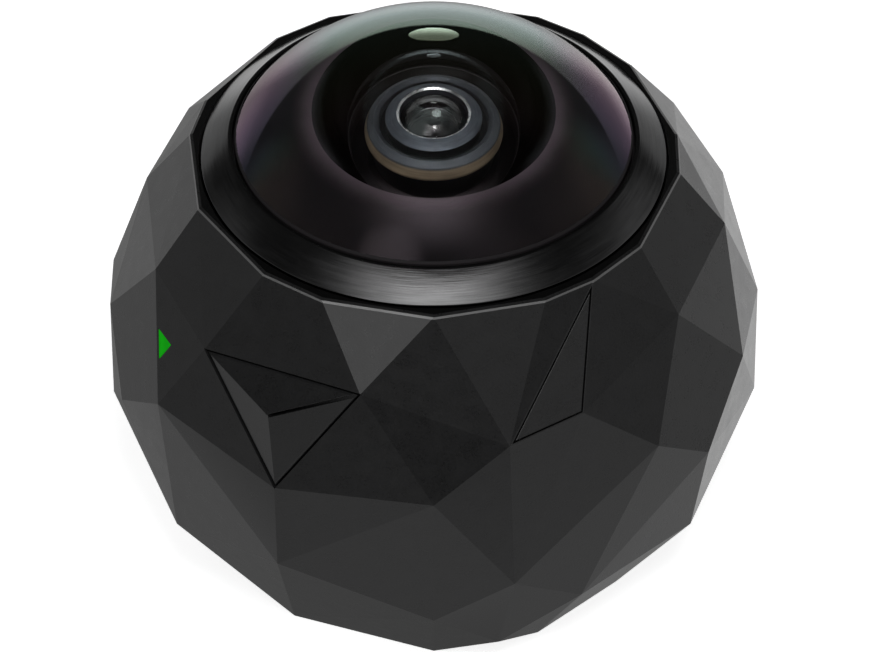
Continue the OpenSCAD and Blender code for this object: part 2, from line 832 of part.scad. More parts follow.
// Three posts between a foot ring on the floor and the ring that carries the barrel
module chassis() {
    color([0.35, 0.35, 0.37])
    difference() {
        intersection() {
            union() {
                ring(foot_r, foot_in_r, floor_t, floor_t + foot_t);
                ring(core_ring_r, core_ring_in_r, core_top - core_ring_t, core_top);
                around(post_az, post_at) {
                    disc(boss_r, floor_t, tray_z);
                    disc(post_r, floor_t, core_top);
                }
            }
            translate([0, 0, base_h])
                sphere(r = core_limit_r);
        }
        around(post_az, post_at)
            disc(screw_r + screw_gap, core_top - 2 * core_ring_t, core_top + cut);
        around(post_az, base_screw_r)
            disc(screw_r + screw_gap, floor_t - cut, floor_t + foot_t + screw_gap);
        // Room for the wide mouth of the barrel
        disc(core_ring_in_r, sleeve_z - 2 * barrel_wall, core_top + cut);
    }
}

module chassis_screws() {
    color("silver")
    around(post_az, base_screw_r)
        screw_up(base_ledge_z + screw_head_h, floor_t - base_ledge_z - screw_head_h + foot_t - 0.2);
}

module board_spacers() {
    color("ivory")
    around(post_az, post_at)
        ring(boss_r, post_r + inner_fit / 2, tray_z + tray_t, main_board_z);
}

module main_board() {
    color([0.05, 0.25, 0.15])
    difference() {
        disc(main_board_r, main_board_z, main_board_top);
        around(post_az, post_at)
            disc(post_r + inner_fit, main_board_z - cut, main_board_top + cut);
    }
}

module processor() {
    color([0.1, 0.1, 0.1])
    translate([-(processor_w + chip_gap) / 2, chip_y, 0])
        block(processor_w, processor_w, main_board_top, main_board_top + processor_h);
}

module memory_chip() {
    color([0.13, 0.13, 0.13])
    translate([(memory_w + chip_gap) / 2, chip_y, 0])
        block(memory_w, processor_w, main_board_top, main_board_top + memory_h);
}

module shield_can() {
    color("lightgray")
    translate([-(connector_w + can_w) / 2 - chip_gap, can_y, 0])
        block(can_w, can_d, main_board_top, main_board_top + can_h);
}

module board_connector() {
    color([0.8, 0.75, 0.6])
    translate([0, connector_y, 0])
        block(connector_w, connector_d, main_board_top, main_board_top + connector_h);
}

// Tray with four low walls round the battery
module battery_tray() {
    color([0.3, 0.3, 0.32])
    difference() {
        intersection() {
            union() {
                disc(tray_r, tray_z, tray_z + tray_t);
                translate([0, battery_y, 0]) {
                    block(2 * tray_lip_at + tray_lip_l, tray_w, tray_z, tray_z + tray_t);
                    for (x = [-1, 1], y = [-1, 1])
                        translate([x * tray_lip_at, y * (tray_w - tray_lip_t) / 2, 0])
                            block(tray_lip_l, tray_lip_t, tray_z, tray_z + tray_t + tray_lip_h);
                }
            }
            translate([0, 0, base_h])
                sphere(r = core_limit_r);
        }
        around(post_az, post_at)
            disc(post_r + inner_fit, tray_z - cut, tray_z + tray_t + cut);
    }
}

module battery_pad() {
    color([0.2, 0.2, 0.2])
    translate([0, battery_y, 0])
        block(battery_l - 2 * pad_margin, battery_w - 2 * pad_margin, tray_z + tray_t, battery_z);
}

// Flat pouch cell with rounded long edges
module battery_cell() {
    edge_r = battery_h / 4;
    color([0.75, 0.76, 0.78])
    translate([-battery_l / 2, battery_y, 0])
        rotate([90, 0, 90])
            linear_extrude(battery_l)
                union() {
                    translate([-battery_w / 2 + edge_r, battery_z])
                        square([battery_w - 2 * edge_r, battery_h]);
                    translate([-battery_w / 2, battery_z + edge_r])
                        square([battery_w, battery_h - 2 * edge_r]);
                    for (side = [-1, 1], high = [edge_r, battery_h - edge_r])
                        translate([side * (battery_w / 2 - edge_r), battery_z + high])
                            circle(r = edge_r);
                }
}

// Three-sided cap with a low peak, a slot from the peak to one corner, and a stem
module button_cap() {
    outer = drawn_in(button_flat, button_gap - button_reach);
    inner = drawn_in(button_flat, button_gap - button_reach + cap_chamfer);
    peak = in_plane(button_tri, middle(button_tri));
    run = unit(outer[2] - peak);
    tip = outer[2] + run * cut;
    side = [-run[1], run[0]] * slot_w / 2;
    points = concat(
        [for (p = outer) [p[0], p[1], -cap_t]],
        [for (p = outer) [p[0], p[1], -cap_chamfer]],
        [for (p = inner) [p[0], p[1], 0]],
        [[peak[0], peak[1], button_rise]]
    );
    walls = [for (level = [0, 3], i = [0:2]) let (j = (i + 1) % 3)
        [level + i, level + 3 + i, level + 3 + j, level + j]];
    slopes = [for (i = [0:2]) [6 + i, 9, 6 + (i + 1) % 3]];
    color([0.17, 0.17, 0.18])
    on_facet(button_tri)
        difference() {
            union() {
                polyhedron(points = points, faces = concat([[0, 1, 2]], walls, slopes));
                disc(stem_r, stem_end, -cap_t / 2);
            }
            prism([peak + side, peak - side, tip - side, tip + side], -cap_chamfer, button_rise + cut);
        }
}

// Triangle with rounded corners that laps the button's opening
module frame_plate(gap, z0, z1) {
    intersection() {
        prism(drawn_in(button_flat, -frame_lap - gap), z0, z1);
        disc(frame_r + gap, z0, z1);
    }
}

// Cup inside the shell: its flange seats round the opening and its tube carries the switch
module button_frame() {
    color([0.3, 0.3, 0.32])
    on_facet(button_tri)
        difference() {
            union() {
                frame_plate(0, frame_under, frame_seat);
                disc(frame_tube_r, frame_end, frame_seat);
            }
            disc(frame_tube_in_r, switch_board_top - cut, frame_under);
            disc(switch_board_r + lens_fit, frame_end - cut, switch_board_top);
            disc(stem_r + stem_fit, frame_end, frame_seat + cut);
            disc(seal_ring_r + stem_fit, frame_seat - seal_ring_t, frame_seat + cut);
            for (p = frame_screw_spots)
                translate(p)
                    disc(screw_r + screw_gap, frame_under - cut, frame_seat + cut);
        }
}

module frame_screws() {
    color("silver")
    on_facet(button_tri)
        for (p = frame_screw_spots)
            translate(p)
                screw_up(frame_under, frame_t + frame_screw_depth);
}

module button_seal() {
    color([0.6, 0.2, 0.15])
    on_facet(button_tri)
        ring(seal_ring_r, stem_r + stem_fit, frame_seat - seal_ring_t, frame_seat);
}

module button_clip() {
    color("silver")
    on_facet(button_tri)
        ring(clip_r, stem_r, clip_top - clip_t, clip_top);
}

module switch_body() {
    color([0.12, 0.12, 0.12])
    on_facet(button_tri)
        difference() {
            block(switch_w, switch_w, switch_board_top, switch_top);
            disc(plunger_r + stem_fit, switch_top - plunger_l - button_travel + 0.4, switch_top + cut);
        }
}

module switch_stem() {
    color([0.85, 0.85, 0.8])
    on_facet(button_tri)
        disc(plunger_r, stem_end - plunger_l, stem_end);
}

module switch_board() {
    color([0.05, 0.25, 0.15])
    on_facet(button_tri)
        disc(switch_board_r, switch_board_top - board_t, switch_board_top);
}

// Flush cover: sound comes in by the gap round it and along the slot under it
module microphone_cover() {
    color([0.15, 0.15, 0.16])
    on_facet(mic_tri)
        difference() {
            prism(drawn_in(mic_flat, mic_land + mic_gap), mic_floor, 0);
            block(ball_r, mic_slot_w, mic_floor - cut, mic_floor + mic_slot_t);
        }
}

module microphone_gasket() {
    color([0.1, 0.1, 0.1])
    on_facet(mic_tri)
        ring(mic_duct_r - lens_fit, mic_gasket_bore_r, mic_seat, mic_floor);
}

module microphone() {
    color([0.75, 0.7, 0.5])
    on_facet(mic_tri)
        block(mic_w, mic_d, mic_seat - mic_h, mic_seat);
}

module microphone_board() {
    color([0.05, 0.25, 0.15])
    on_facet(mic_tri)
        disc(mic_board_r, mic_seat - mic_h - board_t, mic_seat - mic_h);
}

// Clear plug with a triangular window and a round foot over the light
module light_guide() {
    color([0.1, 0.7, 0.1])
    on_facet(light_tri)
        difference() {
            union() {
                prism(drawn_in(light_window, light_gap), light_seat - light_foot_t / 2, 0);
                translate(light_middle)
                    disc(light_foot_r, light_seat - light_foot_t, light_seat);
            }
            translate(light_middle)
                block(led_w + 0.4, led_d + 0.4, light_seat - light_foot_t - cut, light_seat - 0.1);
        }
}

module status_led() {
    color("white")
    on_facet(light_tri)
        translate(light_middle)
            block(led_w, led_d, light_seat - light_foot_t, light_seat - light_foot_t + led_h);
}

module led_board() {
    color([0.05, 0.25, 0.15])
    on_facet(light_tri)
        translate(light_middle)
            disc(light_foot_r, light_seat - light_foot_t - board_t, light_seat - light_foot_t);
}

// Long slot shape with round ends
module slot_shape(l, w, z0, z1) {
    block(l - w, w, z0, z1);
    for (end = [-1, 1])
        translate([end * (l - w) / 2, 0, 0])
            disc(w / 2, z0, z1);
}

module base_cover() {
    color([0.12, 0.12, 0.13])
    difference() {
        disc(cover_r, 0, cover_t);
        disc(bush_d / 2 + lens_fit / 2, -cut, cover_t + cut);
        translate([0, contact_y, 0])
            slot_shape(carrier_l + lens_fit, carrier_w + lens_fit, -cut, cover_t + cut);
        around(base_screw_az, base_screw_r) {
            disc(screw_r + screw_gap, -cut, cover_t + cut);
            disc(screw_head_r + screw_gap, -cut, screw_head_h);
        }
    }
}

module base_gasket() {
    color([0.2, 0.2, 0.2])
    difference() {
        ring(cover_r - (base_ledge_w - gasket_w) / 2, base_bore_r + (base_ledge_w - gasket_w) / 2,
            cover_t, base_ledge_z);
        around(base_screw_az, base_screw_r)
            disc(screw_r + screw_gap, cover_t - cut, base_ledge_z + cut);
    }
}

module base_screws() {
    color("silver")
    around(base_screw_az, base_screw_r)
        screw_up(screw_head_h, floor_t - 0.25 - screw_head_h);
}

// Bush for a tripod screw, with a flange inside the cover
module tripod_bush() {
    color([0.8, 0.68, 0.4])
    difference() {
        union() {
            disc(bush_d / 2, 0, bush_h);
            disc(bush_flange_r, cover_t, cover_t + bush_flange_t);
        }
        disc(bush_bore_d / 2, -cut, bush_h + cut);
    }
}

module contact_carrier() {
    color([0.1, 0.1, 0.1])
    translate([0, contact_y, 0])
        difference() {
            union() {
                slot_shape(carrier_l, carrier_w, 0, carrier_t);
                slot_shape(carrier_l + 2 * carrier_lip, carrier_w + 2 * carrier_lip, cover_t, carrier_t);
            }
            for (i = [0:contact_count - 1])
                translate([(i - (contact_count - 1) / 2) * contact_pitch, 0, 0])
                    disc(contact_d / 2 + lens_fit / 2, -cut, carrier_t + cut);
        }
}

module charge_contacts() {
    color([0.9, 0.75, 0.35])
    for (i = [0:contact_count - 1])
        translate([(i - (contact_count - 1) / 2) * contact_pitch, contact_y, 0])
            disc(contact_d / 2, contact_recess, contact_board_z);
}

module contact_board() {
    color([0.05, 0.25, 0.15])
    translate([0, contact_y, 0])
        slot_shape(carrier_l, carrier_w, contact_board_z, contact_board_z + board_t);
}

// Rod along X on the vibration motor's axis
module motor_rod(r, x0, x1) {
    translate([x0, motor_y, motor_z])
        rotate([0, 90, 0])
            cylinder(r = r, h = x1 - x0);
}

module motor_can() {
    color("lightgray")
    difference() {
        motor_rod(motor_r, motor_x - motor_l, motor_x);
        motor_rod(motor_shaft_r + stem_fit, motor_x - motor_l + 1, motor_x + cut);
    }
}

// Saddle on the base cover that grips the motor's can
module motor_clip() {
    color([0.15, 0.15, 0.15])
    difference() {
        translate([motor_x - motor_l / 2 - 0.5, motor_y, 0])
            block(motor_l - 3, motor_d + 1.6, cover_t, motor_z + motor_r / 2);
        motor_rod(motor_r + lens_fit / 2, motor_x - motor_l - cut, motor_x + cut);
    }
}

module motor_shaft() {
    color("silver")
    motor_rod(motor_shaft_r, motor_x - motor_l + 1.2, motor_x + weight_gap + weight_l);
}

// Half-round weight on a hub, off the shaft's axis
module eccentric_weight() {
    x0 = motor_x + weight_gap;
    hub_r = motor_shaft_r + 0.4;
    color([0.5, 0.5, 0.52])
    difference() {
        union() {
            motor_rod(hub_r, x0, x0 + weight_l);
            intersection() {
                motor_rod(weight_r, x0, x0 + weight_l);
                translate([x0, motor_y - weight_r, motor_z - weight_r])
                    cube([weight_l, 2 * weight_r, weight_r]);
            }
        }
        motor_rod(motor_shaft_r, x0 - cut, x0 + weight_l + cut);
    }
}

body_shell();
bezel_ring();
dome_lens();
dome_seal();
lens_barrel();
barrel_screws();
second_lens();
lens_retainer();
cell_ring();
front_ring();
third_lens();
aperture_stop();
fourth_lens();
lens_spacer();
fifth_lens();
rear_spacer();
infrared_filter();
sensor_holder();
image_sensor();
sensor_board();
sensor_screws();
sensor_flex();
chassis();
chassis_screws();
board_spacers();
main_board();
processor();
memory_chip();
shield_can();
board_connector();
battery_tray();
battery_pad();
battery_cell();
button_cap();
button_frame();
frame_screws();
button_seal();
button_clip();
switch_body();
switch_stem();
switch_board();
microphone_cover();
microphone_gasket();
microphone();
microphone_board();
light_guide();
status_led();
led_board();
base_cover();
base_gasket();
base_screws();
tripod_bush();
contact_carrier();
charge_contacts();
contact_board();
motor_can();
motor_clip();
motor_shaft();
eccentric_weight();
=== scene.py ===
import json
import math

import bmesh
import bpy
import numpy as np
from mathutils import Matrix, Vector

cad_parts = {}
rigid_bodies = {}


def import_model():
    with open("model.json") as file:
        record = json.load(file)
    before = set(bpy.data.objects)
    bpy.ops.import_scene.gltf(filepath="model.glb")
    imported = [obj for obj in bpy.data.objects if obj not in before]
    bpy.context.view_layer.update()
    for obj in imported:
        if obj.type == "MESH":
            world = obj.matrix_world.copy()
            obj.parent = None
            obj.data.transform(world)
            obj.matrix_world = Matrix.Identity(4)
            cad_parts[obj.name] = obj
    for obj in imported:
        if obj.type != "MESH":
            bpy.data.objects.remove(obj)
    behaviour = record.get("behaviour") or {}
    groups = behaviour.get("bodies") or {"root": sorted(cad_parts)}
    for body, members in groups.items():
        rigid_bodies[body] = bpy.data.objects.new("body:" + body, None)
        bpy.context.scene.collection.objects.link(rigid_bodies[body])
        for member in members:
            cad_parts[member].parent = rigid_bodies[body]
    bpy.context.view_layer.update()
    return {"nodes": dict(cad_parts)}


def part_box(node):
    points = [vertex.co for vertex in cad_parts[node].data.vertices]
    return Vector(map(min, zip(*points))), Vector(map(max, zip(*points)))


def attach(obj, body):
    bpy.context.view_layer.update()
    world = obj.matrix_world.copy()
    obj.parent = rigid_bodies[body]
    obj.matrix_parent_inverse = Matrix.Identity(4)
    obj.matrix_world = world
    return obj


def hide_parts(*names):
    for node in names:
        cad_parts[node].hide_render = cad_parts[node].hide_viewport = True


for leftover in list(bpy.data.objects):
    bpy.data.objects.remove(leftover)  # a fresh file's cube, lamp and camera
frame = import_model()
nodes = frame["nodes"]
mm = 0.001
print("frame loaded:", len(nodes), "nodes")

scene = bpy.context.scene
scene.view_settings.view_transform = "Standard"


# node trees written as sums
class Wire:
    # one output socket; sums on wires add Math nodes
    def __init__(self, tree, socket):
        self.tree = tree
        self.socket = socket

    def maths(self, operation, first, second):
        return self.tree.node("ShaderNodeMath", {"operation": operation}, {0: first, 1: second})

    def __add__(self, other):
        return self.maths("ADD", self, other)

    def __radd__(self, other):
        return self.maths("ADD", other, self)

    def __sub__(self, other):
        return self.maths("SUBTRACT", self, other)

    def __rsub__(self, other):
        return self.maths("SUBTRACT", other, self)

    def __mul__(self, other):
        return self.maths("MULTIPLY", self, other)

    def __truediv__(self, other):
        return self.maths("DIVIDE", self, other)

    def __pow__(self, other):
        return self.maths("POWER", self, other)

    def other(self, name):
        return Wire(self.tree, self.socket.node.outputs[name])


class Tree:
    # a material's or the world's nodes, started empty
    def __init__(self, owner):
        owner.use_nodes = True
        self.nodes = owner.node_tree.nodes
        self.links = owner.node_tree.links
        self.nodes.clear()

    def node(self, kind, settings=None, values=None, out=0):
        made = self.nodes.new(kind)
        for name, value in (settings or {}).items():
            setattr(made, name, value)
        for name, value in (values or {}).items():
            if isinstance(value, Wire):
                self.links.new(value.socket, made.inputs[name])
            else:
                made.inputs[name].default_value = value
        return Wire(self, made.outputs[out]) if len(made.outputs) else made

    def place(self, **mapping):
        spot = self.node("ShaderNodeTexCoord", out="Object")
        if not mapping:
            return spot
        values = {name.capitalize(): value for name, value in mapping.items()}
        return self.node("ShaderNodeMapping", None, {"Vector": spot, **values})

    def axes(self, vector):
        parts = self.node("ShaderNodeSeparateXYZ", None, {"Vector": vector})
        return parts, parts.other("Y"), parts.other("Z")

    def join(self, x, y, z):
        return self.node("ShaderNodeCombineXYZ", None, {"X": x, "Y": y, "Z": z})

    def noise(self, vector, scale, detail=2.0, rough=0.5):
        values = {"Vector": vector, "Scale": scale, "Detail": detail, "Roughness": rough}
        return self.node("ShaderNodeTexNoise", None, values)

    def step(self, value, low, high):
        values = {"Value": value, "From Min": low, "From Max": high}
        return self.node("ShaderNodeMapRange", {"interpolation_type": "SMOOTHSTEP"}, values)

    def blend(self, factor, first, second):
        settings = {"data_type": "RGBA"}
        return self.node("ShaderNodeMix", settings, {0: factor, 6: first, 7: second}, out=2)

    def varied(self, tone, colour, darkest, palest):
        return self.blend(tone, shade(colour, darkest), shade(colour, palest))

    def relief(self, height, depth, strength=1.0):
        values = {"Height": height, "Distance": depth, "Strength": strength}
        return self.node("ShaderNodeBump", None, values)

    def finish(self, **sockets):
        values = {name.replace("_", " "): value for name, value in sockets.items()}
        shader = self.node("ShaderNodeBsdfPrincipled", None, values)
        self.node("ShaderNodeOutputMaterial", None, {"Surface": shader})


def shade(colour, factor):
    return tuple(min(1.0, part * factor) for part in colour) + (1.0,)


# finishes
noiseSpan = (0.3, 0.7)  # most of a noise's values lie between these


def mouldedPlastic(name, look):
    # grain is the spark-eroded texture of the mould, mottle its slow change
    grainTone, mottleTone = 0.6, 0.4
    # the third dulls the painted rim highlight
    grainDull, mottleDull, rimHighlightDull = 0.12, 0.10, 0.25
    made = bpy.data.materials.new(name)
    tree = Tree(made)
    spot = tree.place()
    grain = tree.noise(spot, 1 / look["grain"], 2.0, 0.6)
    mottle = tree.noise(spot, 1 / look["mottle"], 3.0)
    tone = tree.step(grain * grainTone + mottle * mottleTone, *noiseSpan)
    colour = tree.varied(tone, look["colour"], 0.78, 1.22)
    rimHighlight = 0.0
    if "cutFrom" in look:
        # painted highlight along the rim's edge: heights just below the flat top turn pale and metallic
        x, y, z = tree.axes(spot)
        rimHighlight = tree.step(z, *look["cutFrom"]) * tree.step(z, *look["cutTo"])
        colour = tree.blend(rimHighlight, colour, shade(look["cutColour"], 1.0))
    dull = (grain - 0.5) * grainDull + (mottle - 0.5) * mottleDull + rimHighlight * rimHighlightDull
    tree.finish(
        Base_Color=colour,
        Metallic=rimHighlight,
        Roughness=look["roughness"] + dull,
        Normal=tree.relief(grain + mottle * 0.5, look["depth"], look["relief"]),
        IOR=look.get("ior", 1.5),
    )
    return made


def edgePaint(name, look):
    # black paint on the dome's edge and underside, with a painted glow: paler towards the hollow's rim
    ragged = 0.0004  # how unevenly the painted glow ends
    made = bpy.data.materials.new(name)
    tree = Tree(made)
    spot = tree.place()
    x, y, z = tree.axes(spot)
    radius = (x * x + y * y) ** 0.5
    cloud = tree.noise(spot, 500.0, 3.0)
    paintedGlow = 1 - tree.step(radius + (cloud - 0.5) * ragged, *look["thinTo"])
    paintedGlow = paintedGlow * paintedGlow
    tree.finish(
        Base_Color=tree.blend(paintedGlow, shade(look["colour"], 1.0), shade(look["inner"], 1.0)),
        Roughness=look["roughness"] + (cloud - 0.5) * 0.1,
        Normal=tree.relief(cloud, 1e-5, 0.2),
        Specular_IOR_Level=0.15,
    )
    return made


def turnedMetal(name, look):
    # grooves run round the upright axis: noise of (groove, sine, cosine), groove = height - radius
    fineTone, broadTone, cloudTone = 0.5, 0.3, 0.2
    broader = 5
    made = bpy.data.materials.new(name)
    tree = Tree(made)
    x, y, z = tree.axes(tree.place())
    radius = (x * x + y * y) ** 0.5
    across = x / radius * look["streaks"]
    along = y / radius * look["streaks"]
    fine = tree.noise(tree.join((z - radius) / look["groove"], across, along), 1.0, 2.0)
    broad = tree.noise(tree.join((z - radius) / (broader * look["groove"]), across, along), 1.0, 1.0)
    cloud = tree.noise(tree.place(), 400.0, 3.0)
    tone = tree.step(fine * fineTone + broad * broadTone + cloud * cloudTone, *noiseSpan)
    colour = tree.varied(tone, look["colour"], 0.75, 1.25)
    if "edgeColour" in look:
        # a second colour beyond a radius, for a ring's sloped edge
        outer = tree.varied(tone, look["edgeColour"], 0.75, 1.25)
        colour = tree.blend(tree.step(radius, *look["edgeFrom"]), colour, outer)
    tree.finish(
        Base_Color=colour,
        Metallic=look["metallic"],
        Roughness=look["roughness"] + (fine - 0.5) * 0.16 + (cloud - 0.5) * 0.08,
        Normal=tree.relief(fine + broad, look["depth"], look["relief"]),
        Anisotropic=look["anisotropic"],
    )
    return made


def workedMetal(name, look):
    # plain metal pieces: fine rolled grain, faint stains
    grainTone, stainTone = 0.4, 0.6
    made = bpy.data.materials.new(name)
    tree = Tree(made)
    grain = tree.noise(tree.place(scale=(2500, 9000, 9000)), 1.0, 3.0)
    stain = tree.noise(tree.place(), 350.0, 4.0, 0.6)
    tone = tree.step(grain * grainTone + stain * stainTone, *noiseSpan)
    tree.finish(
        Base_Color=tree.varied(tone, look["colour"], 0.8, 1.12),
        Metallic=1.0,
        Roughness=look["roughness"] + (grain - 0.5) * 0.15 + (stain - 0.5) * 0.15,
        Normal=tree.relief(grain + stain, look["depth"], 0.5),
    )
    return made


def glassShader(tree, look, film, dullness):
    # film holds the coating's thickness, in nm, and its index
    values = {"Base Color": look["colour"] + (1.0,), "Roughness": dullness, "Transmission Weight": 1.0,
              "IOR": look["ior"], "Thin Film Thickness": film[0], "Thin Film IOR": film[1]}
    return tree.node("ShaderNodeBsdfPrincipled", None, values)


def coatedGlass(name, look):
    # polished glass under a thin film, which tints what it mirrors; smears dull it here and there
    made = bpy.data.materials.new(name)
    tree = Tree(made)
    smear = tree.step(tree.noise(tree.place(), 130.0, 4.0, 0.6), 0.55, 0.8) * look["smear"]
    glass = glassShader(tree, look, look["film"], smear)
    if "sideFilm" in look:
        # the film is thickest at the dome's sides and thinnest in front
        x, y, z = tree.axes(tree.place())
        sides = tree.step((x * x) ** 0.5, *look["sidesFrom"])
        front = 1 - tree.step(y, *look["frontFrom"])
        for share, film in ((sides, look["sideFilm"]), (front, look["frontFilm"])):
            values = {0: share, 1: glass, 2: glassShader(tree, look, film, smear)}
            glass = tree.node("ShaderNodeMixShader", None, values)
    tree.node("ShaderNodeOutputMaterial", None, {"Surface": glass})
    return made


def quietGlass(name, look):
    # the lenses' inner faces: a coating that lets nearly all light through and mirrors very little
    made = bpy.data.materials.new(name)
    tree = Tree(made)
    smear = tree.step(tree.noise(tree.place(), 200.0, 4.0, 0.6), 0.5, 0.8) * look["smear"]
    bent = tree.node("ShaderNodeBsdfRefraction", None,
                     {"Color": look["colour"] + (1.0,), "IOR": look["ior"], "Roughness": smear})
    mirror = tree.node("ShaderNodeBsdfGlossy", None,
                       {"Color": look["mirror"] + (1.0,), "Roughness": look["mirrorDull"]})
    x, y, z = tree.axes(tree.place())
    radius = (x * x + y * y) ** 0.5
    # it mirrors most behind and at the sides, where the photograph sees it aslant
    behind = tree.step(y, *look["behindFrom"]) * (1 - tree.step(radius, *look["behindTo"]))
    sides = tree.step((x * x) ** 0.5, *look["sidesFrom"]) * (1 - tree.step(y, *look["sidesTo"]))
    share = look["least"] + behind * look["behind"] + sides * look["sides"]
    glass = tree.node("ShaderNodeMixShader", None, {0: share, 1: bent, 2: mirror})
    tree.node("ShaderNodeOutputMaterial", None, {"Surface": glass})
    return made


def circuitBoard(name, look):
    # lacquered laminate: narrow tracks along a staggered grid, in patches
    made = bpy.data.materials.new(name)
    tree = Tree(made)
    spot = tree.place()
    brick = tree.node(
        "ShaderNodeTexBrick", {"offset": 0.5, "squash": 1.0},
        {"Vector": spot, "Scale": 1 / look["pitch"], "Mortar Size": 0.08, "Mortar Smooth": 0.1,
         "Color1": (0, 0, 0, 1), "Color2": (0, 0, 0, 1), "Mortar": (1, 1, 1, 1)}, out="Fac")
    patch = tree.noise(spot, 220.0, 1.0)
    track = brick * tree.step(patch, 0.45, 0.55)
    weave = tree.noise(spot, 5200.0, 2.0)
    tone = tree.varied(weave, look["colour"], 0.8, 1.2)
    tree.finish(
        Base_Color=tree.blend(track, tone, shade(look["track"], 1.0)),
        Roughness=0.32 + (weave - 0.5) * 0.1,
        Normal=tree.relief(track + weave * 0.2, 2e-5, 0.6),
    )
    return made


def crinkledFoil(name, look):
    # creases between random cells, over slow waves
    made = bpy.data.materials.new(name)
    tree = Tree(made)
    spot = tree.place()
    crease = tree.node("ShaderNodeTexVoronoi", {"feature": "DISTANCE_TO_EDGE"},
                       {"Vector": spot, "Scale": 300.0})
    wave = tree.noise(spot, 500.0, 4.0)
    tone = tree.step(wave, 0.35, 0.65)
    tree.finish(
        Base_Color=tree.varied(tone, look["colour"], 0.85, 1.1),
        Metallic=1.0,
        Roughness=0.34 + (wave - 0.5) * 0.2,
        Normal=tree.relief(tree.step(crease, 0.0, 0.25) + wave, 4e-5, 0.5),
    )
    return made


def ribbonFilm(name, look):
    # amber film over side-by-side copper lines
    made = bpy.data.materials.new(name)
    tree = Tree(made)
    spot = tree.place()
    x, y, z = tree.axes(spot)
    line = tree.node("ShaderNodeMath", {"operation": "PINGPONG"}, {0: x, 1: look["pitch"]})
    mask = tree.step(line / look["pitch"], 0.35, 0.5)
    cloud = tree.noise(spot, 300.0, 3.0)
    tone = tree.blend(mask, shade(look["colour"], 0.75), shade(look["line"], 1.0))
    tree.finish(
        Base_Color=tree.blend(cloud * 0.4, tone, shade(look["colour"], 1.1)),
        Roughness=0.3 + (cloud - 0.5) * 0.2,
        Normal=tree.relief(mask, 1e-5, 0.5),
    )
    return made


def litPlastic(name, look):
    # clear green window lit from within, with the moulder's faint flow lines
    made = bpy.data.materials.new(name)
    tree = Tree(made)
    flow = tree.noise(tree.place(), 900.0, 3.0)
    tree.finish(
        Base_Color=tree.varied(flow, look["colour"], 0.8, 1.2),
        Roughness=0.32 + (flow - 0.5) * 0.2,
        Specular_IOR_Level=0.1,
        Emission_Color=tree.varied(flow, look["glow"], 0.7, 1.15),
        Emission_Strength=look["strength"],
    )
    return made


